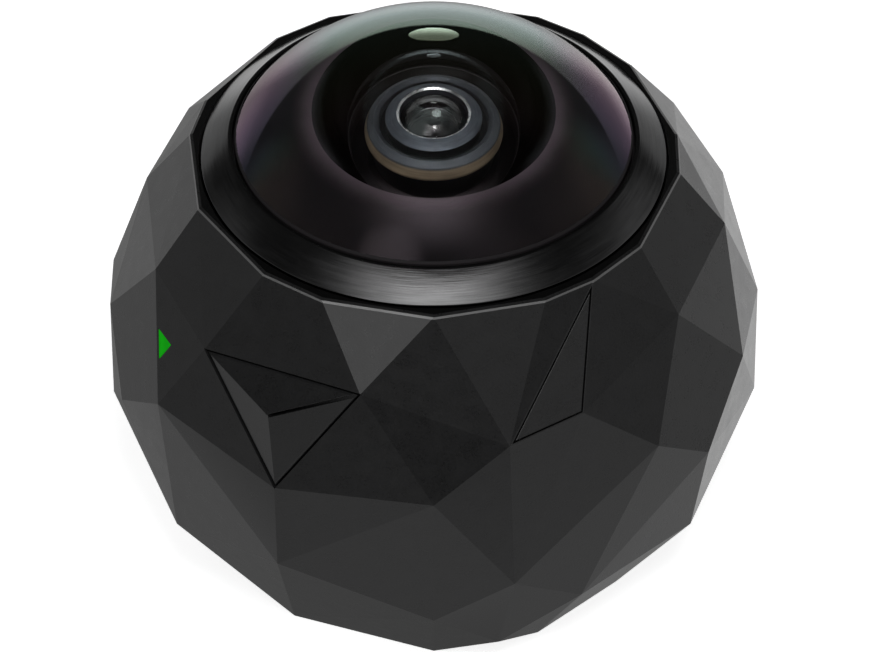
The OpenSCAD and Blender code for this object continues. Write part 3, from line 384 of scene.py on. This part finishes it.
looks = {
    # the shell's rim highlight keys paint a highlight along the rim's edge
    "shell": {"colour": (0.0122, 0.0122, 0.0125), "roughness": 0.3, "grain": 0.00020, "mottle": 0.0016,
              "depth": 2.5e-5, "relief": 0.35, "cutColour": (0.34, 0.34, 0.34),
              "cutFrom": (0.04284, 0.04287), "cutTo": (0.04303, 0.04301)},
    "base": {"colour": (0.02, 0.02, 0.021), "roughness": 0.5, "grain": 0.0003, "mottle": 0.002,
             "depth": 3e-5, "relief": 0.5},
    "inner": {"colour": (0.05, 0.05, 0.053), "roughness": 0.5, "grain": 0.0004, "mottle": 0.003,
              "depth": 3e-5, "relief": 0.5},
    "pale": {"colour": (0.55, 0.53, 0.46), "roughness": 0.45, "grain": 0.0004, "mottle": 0.002,
             "depth": 2e-5, "relief": 0.4},
    "rubber": {"colour": (0.018, 0.018, 0.018), "roughness": 0.7, "grain": 0.00025, "mottle": 0.0015,
               "depth": 4e-5, "relief": 0.6},
    "chip": {"colour": (0.025, 0.025, 0.026), "roughness": 0.42, "grain": 0.00015, "mottle": 0.003,
             "depth": 2e-5, "relief": 0.5},
    # the paint's inner colour is a painted glow near the hollow's rim
    "paint": {"colour": (0.017, 0.015, 0.0163), "inner": (0.15, 0.118, 0.137), "thinTo": (0.0091, 0.0116),
              "roughness": 0.5},
    "bezel": {"colour": (0.1, 0.1, 0.101), "metallic": 1.0, "roughness": 0.17, "groove": 0.00013,
              "streaks": 5.0, "depth": 1.2e-5, "relief": 0.3, "anisotropic": 0.5},
    "blackMetal": {"colour": (0.02, 0.0195, 0.021), "metallic": 0.4, "roughness": 0.5, "groove": 0.0003,
                   "streaks": 4.0, "depth": 2e-5, "relief": 0.4, "anisotropic": 0.0},
    "ringMetal": {"colour": (0.115, 0.132, 0.156), "metallic": 0.5, "roughness": 0.5, "groove": 0.00025,
                  "streaks": 3.0, "depth": 1e-5, "relief": 0.3, "anisotropic": 0.4},
    "cellMetal": {"colour": (0.08, 0.088, 0.102), "metallic": 0.5, "roughness": 0.5, "groove": 0.00025,
                  "streaks": 3.0, "depth": 1e-5, "relief": 0.3, "anisotropic": 0.4,
                  "edgeColour": (0.36, 0.28, 0.19), "edgeFrom": (0.00702, 0.00715)},
    # a darker, barely reflecting copy of the shell plastic: painted shade on the shell's flat top and the
    # bezel's lip
    "rimFlat": {"colour": (0.004, 0.004, 0.004), "roughness": 0.6, "ior": 1.12, "grain": 0.0003,
                "mottle": 0.002, "depth": 2e-5, "relief": 0.4},
    "lipMetal": {"colour": (0.93, 0.94, 0.95), "metallic": 1.0, "roughness": 0.26, "groove": 0.0003,
                 "streaks": 3.0, "depth": 5e-6, "relief": 0.2, "anisotropic": 0.0},
    "brass": {"colour": (0.72, 0.54, 0.24), "metallic": 1.0, "roughness": 0.3, "groove": 0.0003,
              "streaks": 4.0, "depth": 1e-5, "relief": 0.4, "anisotropic": 0.3},
    "steel": {"colour": (0.55, 0.55, 0.56), "roughness": 0.32, "depth": 1e-5},
    "can": {"colour": (0.62, 0.62, 0.63), "roughness": 0.38, "depth": 1e-5},
    "board": {"colour": (0.012, 0.08, 0.035), "track": (0.03, 0.16, 0.07), "pitch": 0.0011},
    "foil": {"colour": (0.6, 0.61, 0.63)},
    "ribbon": {"colour": (0.42, 0.22, 0.04), "line": (0.55, 0.3, 0.1), "pitch": 0.0003},
    "light": {"colour": (0.001, 0.06, 0.001), "glow": (0.0, 0.27, 0.0), "strength": 1.0},
    "dome": {"colour": (0.985, 0.98, 0.985), "ior": 1.52, "film": (470.0, 1.43), "smear": 0.015,
             "sideFilm": (630.0, 1.4), "sidesFrom": (0.0085, 0.0155),
             "frontFilm": (94.0, 1.38), "frontFrom": (-0.009, -0.005)},
    "domeInside": {"colour": (1.0, 1.0, 1.0), "ior": 1.52, "smear": 0.01, "mirror": (0.86, 1.0, 0.98),
                   "mirrorDull": 0.02, "least": 0.02,
                   "behind": 0.09, "behindFrom": (0.0, 0.002), "behindTo": (0.0055, 0.008),
                   "sides": 0.35, "sidesFrom": (0.0062, 0.0085), "sidesTo": (0.003, 0.007)},
    "lens": {"colour": (0.97, 0.97, 0.985), "ior": 1.75, "film": (90.0, 1.38), "smear": 0.01},
    "topLens": {"colour": (0.97, 0.97, 0.985), "ior": 1.6, "film": (0.0, 1.38), "smear": 0.01},
    "lensInside": {"colour": (1.0, 1.0, 1.0), "ior": 1.6, "smear": 0.01, "mirror": (1.0, 0.86, 0.98),
                   "mirrorDull": 0.02, "least": 0.01,
                   "behind": 0.02, "behindFrom": (0.0, 0.002), "behindTo": (0.002, 0.003),
                   "sides": 0.02, "sidesFrom": (0.002, 0.003), "sidesTo": (0.003, 0.007)},
    "filter": {"colour": (0.75, 0.92, 0.9), "ior": 1.5, "film": (300.0, 1.38), "smear": 0.01},
}
finishes = {}
for maker, names in (
    (mouldedPlastic, ("shell", "rimFlat", "base", "inner", "pale", "rubber", "chip")),
    (edgePaint, ("paint",)),
    (turnedMetal, ("bezel", "blackMetal", "ringMetal", "cellMetal", "lipMetal", "brass")),
    (workedMetal, ("steel", "can")),
    (coatedGlass, ("dome", "topLens", "lens", "filter")),
    (quietGlass, ("domeInside", "lensInside")),
    (circuitBoard, ("board",)),
    (crinkledFoil, ("foil",)),
    (ribbonFilm, ("ribbon",)),
    (litPlastic, ("light",)),
):
    for name in names:
        finishes[name] = maker(name, looks[name])
print("finishes made:", len(finishes))

wears = {
    "base": ("base_cover", "contact_carrier"),
    "inner": ("sensor_holder", "chassis", "battery_tray", "button_frame"),
    "pale": ("board_spacers", "switch_stem", "board_connector"),
    "rubber": ("dome_seal", "button_seal", "base_gasket", "microphone_gasket", "battery_pad", "motor_clip"),
    "chip": ("image_sensor", "processor", "memory_chip", "switch_body"),
    "blackMetal": ("lens_barrel", "lens_retainer", "aperture_stop", "lens_spacer", "rear_spacer"),
    "brass": ("tripod_bush", "charge_contacts"),
    "steel": ("barrel_screws", "sensor_screws", "chassis_screws", "frame_screws", "base_screws",
              "button_clip", "motor_shaft", "eccentric_weight"),
    "can": ("shield_can", "microphone", "motor_can"),
    "board": ("sensor_board", "main_board", "switch_board", "microphone_board", "led_board",
              "contact_board"),
    "foil": ("battery_cell",),
    "ribbon": ("sensor_flex",),
    "light": ("light_guide", "status_led"),
    "lens": ("third_lens", "fourth_lens", "fifth_lens"),
    "filter": ("infrared_filter",),
}
for finish, worn in wears.items():
    for name in worn:
        nodes[name].data.materials.clear()
        nodes[name].data.materials.append(finishes[finish])
print("solids dressed:", sum(len(worn) for worn in wears.values()))


# shapes
def newPiece(name, mesh, body, slot, *replaced):
    piece = bpy.data.objects.new(name, mesh)
    scene.collection.objects.link(piece)
    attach(piece, body)
    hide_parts(*replaced)
    return piece


def extent(node):
    # a round node's outer radius, foot and top, in mm
    low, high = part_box(node)
    return high[0] / mm, low[2] / mm, high[2] / mm


def arc(height, radius, outFrom, outTo, steps):
    # points on a circle about (0, height): r = radius sin(t), z = height + radius cos(t)
    turn = np.linspace(np.arcsin(outFrom / radius), np.arcsin(outTo / radius), steps)
    return np.stack([radius * np.sin(turn), height + radius * np.cos(turn)], axis=1)


def rounded(corners, size, steps=5):
    # each corner p becomes the curve (1-t)^2 a + 2t(1-t) p + t^2 b between points a, b on its two sides
    most = 0.45  # of the shorter side, so that neighbouring curves never meet
    p = np.asarray(corners, float)
    back, ahead = np.roll(p, 1, axis=0) - p, np.roll(p, -1, axis=0) - p
    backLength = np.linalg.norm(back, axis=1, keepdims=True)
    aheadLength = np.linalg.norm(ahead, axis=1, keepdims=True)
    reach = np.minimum(size, most * np.minimum(backLength, aheadLength))
    a, b = p + back / backLength * reach, p + ahead / aheadLength * reach
    t = np.linspace(0, 1, steps)[None, :, None]
    curve = (1 - t) ** 2 * a[:, None] + 2 * t * (1 - t) * p[:, None] + t ** 2 * b[:, None]
    return curve.reshape(-1, 2)


def turnedMesh(name, profile, materials, slots=None, closed=True, segments=240):
    # a profile of radius and height, in mm, carried round the upright axis: x = r cos(a), y = r sin(a)
    profile = np.asarray(profile, float) * mm
    around = np.linspace(0, 2 * np.pi, segments, endpoint=False)
    r, z = profile[:, 0, None], profile[:, 1, None]
    points = np.stack([r * np.cos(around), r * np.sin(around), z + 0 * around], axis=2).reshape(-1, 3)
    rows = len(profile)
    bands = np.arange(rows if closed else rows - 1)
    i, j = np.meshgrid(bands, np.arange(segments), indexing="ij")
    nextRow, nextTurn = (i + 1) % rows, (j + 1) % segments
    quads = np.stack([i * segments + j, i * segments + nextTurn,
                      nextRow * segments + nextTurn, nextRow * segments + j], axis=2).reshape(-1, 4)
    mesh = bpy.data.meshes.new(name)
    mesh.from_pydata(points.tolist(), [], quads.tolist())
    for material in materials:
        mesh.materials.append(material)
    if slots is not None:
        mesh.polygons.foreach_set("material_index", np.repeat(np.asarray(slots)[bands], segments))
    return tidied(mesh)


def tidied(mesh, sharpFrom=30):
    # merges poles and seams, turns faces outwards, smooths all but sharp edges
    work = bmesh.new()
    work.from_mesh(mesh)
    bmesh.ops.remove_doubles(work, verts=work.verts, dist=1e-7)
    bmesh.ops.recalc_face_normals(work, faces=work.faces)
    work.to_mesh(mesh)
    work.free()
    mesh.polygons.foreach_set("use_smooth", np.ones(len(mesh.polygons), bool))
    mesh.set_sharp_from_angle(angle=math.radians(sharpFrom))
    return mesh


def softenedCopy(name, node, settings):
    # a merged copy of a solid; weights say how wide a bevel each outer edge gets
    work = bmesh.new()
    work.from_mesh(nodes[node].data)
    bmesh.ops.remove_doubles(work, verts=work.verts, dist=1e-6)
    flatWithin = math.radians(settings["flatWithin"])
    bmesh.ops.dissolve_limit(work, angle_limit=flatWithin, verts=work.verts[:], edges=work.edges[:])
    centre = Vector((0, 0, ball["middle"]))
    weights = work.edges.layers.float.new("bevel_weight_edge")

    def onTop(face):
        return face.normal.z > ball["level"] and face.calc_center_median().z > ball["rimFrom"]

    def outside(face):
        spoke = face.calc_center_median() - centre
        facing = face.normal.dot(spoke.normalized())
        return onTop(face) or (spoke.length > settings["beyond"] and facing > settings["facing"])

    for edge in work.edges:
        if len(edge.link_faces) != 2 or edge.calc_face_angle(0) < math.radians(settings["sharperThan"]):
            continue
        outer = [face for face in edge.link_faces if outside(face)]
        level = any(onTop(face) for face in edge.link_faces)
        if len(outer) == 2 and level:
            edge[weights] = settings["rim"]
        elif len(outer) == 2:
            edge[weights] = settings["fold"]
        elif len(outer) == 1 and not level:
            edge[weights] = settings["opening"]
    # the flat top gets the darker copy of the plastic: painted shade
    for face in work.faces:
        face.material_index = 1 if onTop(face) else 0
    mesh = bpy.data.meshes.new(name)
    work.to_mesh(mesh)
    work.free()
    for finish in ("shell", "rimFlat"):
        mesh.materials.append(finishes[finish])
    print(name, "softened, faces:", len(mesh.polygons))
    return mesh


def soften(piece, settings):
    bevel = piece.modifiers.new("soften", "BEVEL")
    bevel.limit_method = "WEIGHT"
    bevel.width = settings["width"]
    bevel.segments = settings["steps"]
    bevel.profile = settings["profile"]


# the ball, its button and its microphone cover
ball = {"middle": 0.0223063, "rimFrom": 0.04253, "level": 0.99}  # its flat top lies above rimFrom
shellEdges = {"width": 0.00028, "steps": 3, "profile": 0.6, "flatWithin": 0.6, "sharperThan": 1.0,
              "beyond": 0.027, "facing": 0.85, "rim": 0.86, "fold": 0.9, "opening": 0.3}
capEdges = {"width": 0.0001, "steps": 2, "profile": 0.6, "flatWithin": 0.6, "sharperThan": 1.0,
            "beyond": 0.0275, "facing": 0.3, "rim": 0.0, "fold": 0.7, "opening": 0.7}
for name, node, body, edges in (
    ("ballShell", "body_shell", "camera", shellEdges),
    ("pushButton", "button_cap", "button", capEdges),
    ("soundCover", "microphone_cover", "camera", capEdges),
):
    piece = newPiece(name, softenedCopy(name, node, edges), body, "shell", node)
    soften(piece, edges)

# turned pieces, in mm: heights stand above the node's foot unless they're named as depths below its top
# the bezel: a cone with a flat lip
bezelShape = {"wallTop": 2.2, "lip": 18.225, "lipFlat": 0.35, "lipDepth": 0.95, "wall": 2.0, "round": 0.09,
              "steps": 5}
reach, foot, top = extent("bezel_ring")
lip, steps = bezelShape["lip"], bezelShape["steps"]
lipUnder = top - bezelShape["lipDepth"]
pocket = reach - bezelShape["wall"]
bezelCorners = [(reach, foot), (reach, foot + bezelShape["wallTop"]), (lip + bezelShape["lipFlat"], top),
                (lip, top), (lip, lipUnder), (pocket, lipUnder), (pocket, foot)]
bezelProfile = rounded(bezelCorners, bezelShape["round"], steps)
# the lip's flat and inside get the darker copy of the plastic: painted shade
blackFrom, blackTo = 3 * steps - 1, 5 * steps  # the lip's flat and inside
bezelSlots = [1 if blackFrom <= row < blackTo else 0 for row in range(len(bezelProfile))]
bezelMesh = turnedMesh("bezelRing", bezelProfile, [finishes["bezel"], finishes["rimFlat"]], bezelSlots)
newPiece("bezelRing", bezelMesh, "camera", "bezel", "bezel_ring")

# the dome: sphere outside and inside, black paint on its edge and its conical underside
domeShape = {"radius": 22.2, "edge": 18.025, "flangeTop": 1.5, "flange": 2.1, "hollowRim": 2.3,
             "coneTop": 9.4, "hollowRadius": 9.5, "hollowDepth": 11.2, "steps": 72, "border": 1}
reach, foot, top = extent("dome_lens")
edge, hollow, steps = domeShape["edge"], domeShape["hollowRadius"], domeShape["steps"]
flangeTop = foot + domeShape["flangeTop"]
hollowRim = foot + domeShape["hollowRim"]
hollowCentre = top - domeShape["hollowDepth"]
domeOut = arc(top - domeShape["radius"], domeShape["radius"], 0, edge, steps)
domeEdge = [(edge, flangeTop), (reach, flangeTop), (reach, foot), (reach - domeShape["flange"], foot),
            (domeShape["coneTop"], hollowRim)]
hollowEdge = math.sqrt(hollow ** 2 - (hollowRim - hollowCentre) ** 2)
domeIn = arc(hollowCentre, hollow, hollowEdge, 0, steps)
domeProfile = np.concatenate([domeOut, domeEdge, domeIn])
clear = steps - 1 - domeShape["border"]
domeSlots = [0] * clear + [1] * (domeShape["border"] + len(domeEdge) + 1) + [2] * steps
domeFinishes = [finishes["dome"], finishes["paint"], finishes["domeInside"]]
domeMesh = turnedMesh("domeLens", domeProfile, domeFinishes, domeSlots, closed=False)
newPiece("domeLens", domeMesh, "camera", "lens_glass", "dome_lens")

# the second lens: a small bowl under the two rings
secondShape = {"rimTop": 1.5, "clear": 3.5, "radius": 4.5, "hollowRadius": 2.9, "hollowDepth": 4.6,
               "steps": 40}
reach, foot, top = extent("second_lens")
clear, hollow, steps = secondShape["clear"], secondShape["hollowRadius"], secondShape["steps"]
rimTop = foot + secondShape["rimTop"]
hollowCentre = top - secondShape["hollowDepth"]
secondOut = arc(top - secondShape["radius"], secondShape["radius"], 0, clear, steps)
secondEdge = [(clear, rimTop), (reach, rimTop), (reach, foot)]
cupEdge = math.sqrt(hollow ** 2 - (foot - hollowCentre) ** 2)
secondIn = arc(hollowCentre, hollow, cupEdge, 0, steps)
secondProfile = np.concatenate([secondOut, secondEdge, secondIn])
secondSlots = [0] * (steps - 1) + [1] * (len(secondEdge) + 1) + [2] * steps
secondFinishes = [finishes["topLens"], finishes["blackMetal"], finishes["lensInside"]]
secondMesh = turnedMesh("secondLens", secondProfile, secondFinishes, secondSlots, closed=False)
newPiece("secondLens", secondMesh, "camera", "lens_glass", "second_lens")

# the cell ring: its brown edge slopes up to a dished top
cellShape = {"bore": 5.8, "edge": 0.296, "slope": 7.0, "shoulder": 1.206, "crest": 6.3, "inside": 1.0,
             "round": 0.08}
reach, foot, top = extent("cell_ring")
cellCorners = [(cellShape["bore"], foot), (reach, foot), (reach, foot + cellShape["edge"]),
               (cellShape["slope"], foot + cellShape["shoulder"]), (cellShape["crest"], top),
               (cellShape["bore"], foot + cellShape["inside"])]
cellMesh = turnedMesh("cellRing", rounded(cellCorners, cellShape["round"]), [finishes["cellMetal"]])
newPiece("cellRing", cellMesh, "camera", "ring_metal", "cell_ring")

# the front ring: a cone up to a bright lip round the small lens
frontShape = {"bore": 3.6, "shoulder": 1.8, "lip": 3.88, "lipTop": 2.313, "lipFoot": 2.076, "round": 0.06,
              "steps": 5}
reach, foot, top = extent("front_ring")
steps = frontShape["steps"]
frontCorners = [(frontShape["bore"], foot), (reach, foot), (reach, foot + frontShape["shoulder"]),
                (frontShape["lip"], foot + frontShape["lipTop"]),
                (frontShape["bore"], foot + frontShape["lipFoot"])]
frontProfile = rounded(frontCorners, frontShape["round"], steps)
frontSlots = np.zeros(len(frontProfile), int)
lipFrom = 3 * steps + 2  # from the middle of the lip's curve to the middle of the next
frontSlots[lipFrom:lipFrom + steps + 1] = 1
frontSlots[steps - 1:2 * steps + 2] = 2  # its foot and outer wall are black
frontFinishes = [finishes["ringMetal"], finishes["lipMetal"], finishes["blackMetal"]]
frontMesh = turnedMesh("frontRing", frontProfile, frontFinishes, frontSlots)
newPiece("frontRing", frontMesh, "camera", "ring_metal", "front_ring")
print("lens pieces turned")

# camera at the photograph's angle
photoView = {"elevation": 41.67, "distance": 0.4575, "sensor": 36.0, "lens": 202.62,
             "shiftX": 0.00092, "shiftY": -0.00196, "nearest": 0.01, "farthest": 20}
tilt = math.radians(photoView["elevation"])
middle = Vector((0, 0, ball["middle"]))
cameraData = bpy.data.cameras.new("photoCamera")
cameraData.sensor_width = photoView["sensor"]
cameraData.lens = photoView["lens"]
cameraData.shift_x, cameraData.shift_y = photoView["shiftX"], photoView["shiftY"]
cameraData.clip_start, cameraData.clip_end = photoView["nearest"], photoView["farthest"]
camera = bpy.data.objects.new("photoCamera", cameraData)
camera.location = middle + Vector((0, -math.cos(tilt), math.sin(tilt))) * photoView["distance"]
camera.rotation_euler = (math.pi / 2 - tilt, 0, 0)
scene.collection.objects.link(camera)
scene.camera = camera


# studio
def heading(elevation, azimuth):
    # azimuth 0 is the front, 90 the right
    rise, turn = math.radians(elevation), math.radians(azimuth)
    return Vector((math.sin(turn) * math.cos(rise), -math.cos(turn) * math.cos(rise), math.sin(rise)))


fill = {"elevation": 57, "azimuth": 6, "distance": 0.6, "size": 0.12, "energy": 1.1}
fillData = bpy.data.lights.new("fill", "AREA")
fillData.shape = "DISK"
fillData.size = fill["size"]
fillData.energy = fill["energy"]
fillLamp = bpy.data.objects.new("fill", fillData)
towardFill = heading(fill["elevation"], fill["azimuth"])
fillLamp.location = middle + towardFill * fill["distance"]
fillLamp.rotation_euler = towardFill.to_track_quat("Z", "Y").to_euler()
fillLamp.visible_camera = False
fillLamp.visible_glossy = False
scene.collection.objects.link(fillLamp)

# surroundings that gloss and glass see: a dim room, a pale table, a white backdrop, a high key light,
# soft patches of light and one round lamp behind; the patch named under is the ball's own shade
studio = {"dim": 0.04, "table": 0.5, "tableFrom": (0.05, -0.95)}
backdrop = {"top": (0.24, 0.2), "droop": 0.75, "behind": (0.35, 0.72), "floor": (-0.66, -0.12),
            "sides": 0.38, "middle": 1.42, "middleFrom": (0.85, 0.985)}
key = {"strength": 3.4, "azimuth": -2, "narrow": 4.5, "top": (0.885, 0.86), "rise": (0.45, 0.87)}
patches = {
    "rightFront": {"elevation": -38, "azimuth": 45, "inner": 6, "outer": 34, "strength": 0.1},
    "rightBack": {"elevation": -36, "azimuth": 141, "inner": 6, "outer": 30, "strength": 0.82},
    "leftLow": {"elevation": -50, "azimuth": -132, "inner": 5, "outer": 22, "strength": 0.08},
    "leftSide": {"elevation": 8, "azimuth": -98, "inner": 5, "outer": 28, "strength": 0.25},
    "leftBack": {"elevation": -14, "azimuth": -134, "inner": 4, "outer": 18, "strength": 0.2},
    "rightSide": {"elevation": 6, "azimuth": 86, "inner": 5, "outer": 40, "strength": 0.2},
    "rightHigh": {"elevation": 14, "azimuth": 108, "inner": 4, "outer": 24, "strength": 0.2},
    "front": {"elevation": 34, "azimuth": 4, "inner": 4, "outer": 38, "strength": 0.05},
    "frontLow": {"elevation": -23, "azimuth": -9, "inner": 2, "outer": 14, "strength": 0.22},
    "leftFront": {"elevation": 12, "azimuth": -58, "inner": 4, "outer": 30, "strength": 0.12},
    "nearRight": {"elevation": 22, "azimuth": 34, "inner": 4, "outer": 26, "strength": 0.28},
    "leftKey": {"elevation": 31, "azimuth": -24, "inner": 3, "outer": 18, "strength": 1.65},
    "under": {"elevation": -65, "azimuth": 180, "inner": 10, "outer": 36, "strength": -0.38},
}
lamp = {"elevation": 22, "azimuth": 180, "inner": 5.9, "outer": 6.3, "low": 6.5, "high": 1.1,
        "fade": (0.44, 0.27)}
world = bpy.data.worlds.new("studio")
scene.world = world
tree = Tree(world)
direction = tree.node("ShaderNodeTexCoord", out="Generated")
sideways, behind, upward = tree.axes(direction)


def towards(vector):
    settings = {"operation": "DOT_PRODUCT"}
    return tree.node("ShaderNodeVectorMath", settings, {0: direction, 1: vector}, out="Value")


def softPatch(patch):
    # 1 within the inner angle of its middle, 0 beyond the outer one
    facing = towards(heading(patch["elevation"], patch["azimuth"]))
    return tree.step(facing, math.cos(math.radians(patch["outer"])), math.cos(math.radians(patch["inner"])))


glow = studio["dim"] + tree.step(upward, *studio["tableFrom"]) * studio["table"]
for patch in patches.values():
    glow = glow + softPatch(patch) * patch["strength"]
brighter = backdrop["middle"] - backdrop["sides"]
level = backdrop["sides"] + tree.step(behind, *backdrop["middleFrom"]) * brighter
height = upward + (1 - behind) * (1 - behind) * backdrop["droop"]  # its top edge sinks towards the sides
sheet = tree.step(height, *backdrop["top"]) * tree.step(upward, *backdrop["floor"])
sheet = sheet * tree.step(behind, *backdrop["behind"])
glow = glow + sheet * level
# the key: cosine of the turn from its middle, to a power that narrows it
abreast = towards(heading(0, key["azimuth"])) / (1 - upward * upward) ** 0.5
rise = tree.step(upward, *key["rise"])
across = tree.node("ShaderNodeMath", {"operation": "MAXIMUM"}, {0: abreast, 1: 0.0}) ** key["narrow"]
glow = glow + across * tree.step(upward, *key["top"]) * rise * rise * key["strength"]
fade = tree.step(upward, *lamp["fade"])
glow = glow + softPatch(lamp) * (lamp["high"] + fade * fade * (lamp["low"] - lamp["high"]))
glow = tree.node("ShaderNodeMath", {"operation": "MAXIMUM"}, {0: glow, 1: 0.0})
sky = tree.node("ShaderNodeBackground", None, {"Color": (1, 1, 1, 1), "Strength": glow})
white = tree.node("ShaderNodeBackground", None, {"Color": (1, 1, 1, 1), "Strength": 1.0})
rays = tree.node("ShaderNodeLightPath", out="Is Camera Ray")
mixed = tree.node("ShaderNodeMixShader", None, {0: rays, 1: sky, 2: white})
tree.node("ShaderNodeOutputWorld", None, {"Surface": mixed})

# a pale floor, clear from below
floorShape = {"radius": 0.4, "height": -0.00005, "glow": 0.8, "colour": (0.8, 0.8, 0.8, 1), "rings": 12,
              "segments": 96, "speck": 0.01, "speckScale": 900.0}
rings = np.linspace(0, floorShape["radius"], floorShape["rings"]) / mm
floorProfile = np.stack([rings, np.full_like(rings, floorShape["height"] / mm)], axis=1)
floorPaint = bpy.data.materials.new("floorPaint")
tree = Tree(floorPaint)
rays = tree.node("ShaderNodeLightPath", out="Is Camera Ray")
speck = tree.noise(tree.place(), floorShape["speckScale"], 2.0) * floorShape["speck"]
matte = tree.node("ShaderNodeBsdfDiffuse", None, {"Color": floorShape["colour"]})
lit = tree.node("ShaderNodeEmission", None, {"Strength": rays * (floorShape["glow"] + speck)})
under = tree.node("ShaderNodeNewGeometry", out="Backfacing")
clear = tree.node("ShaderNodeBsdfTransparent")
both = tree.node("ShaderNodeAddShader", None, {0: matte, 1: lit})
paint = tree.node("ShaderNodeMixShader", None, {0: under, 1: both, 2: clear})
tree.node("ShaderNodeOutputMaterial", None, {"Surface": paint})
floorMesh = turnedMesh("floor", floorProfile, [floorPaint], closed=False, segments=floorShape["segments"])
floorMesh.flip_normals()
floor = bpy.data.objects.new("floor", floorMesh)
scene.collection.objects.link(floor)
floor.visible_glossy = False
floor.visible_diffuse = False
print("studio set")
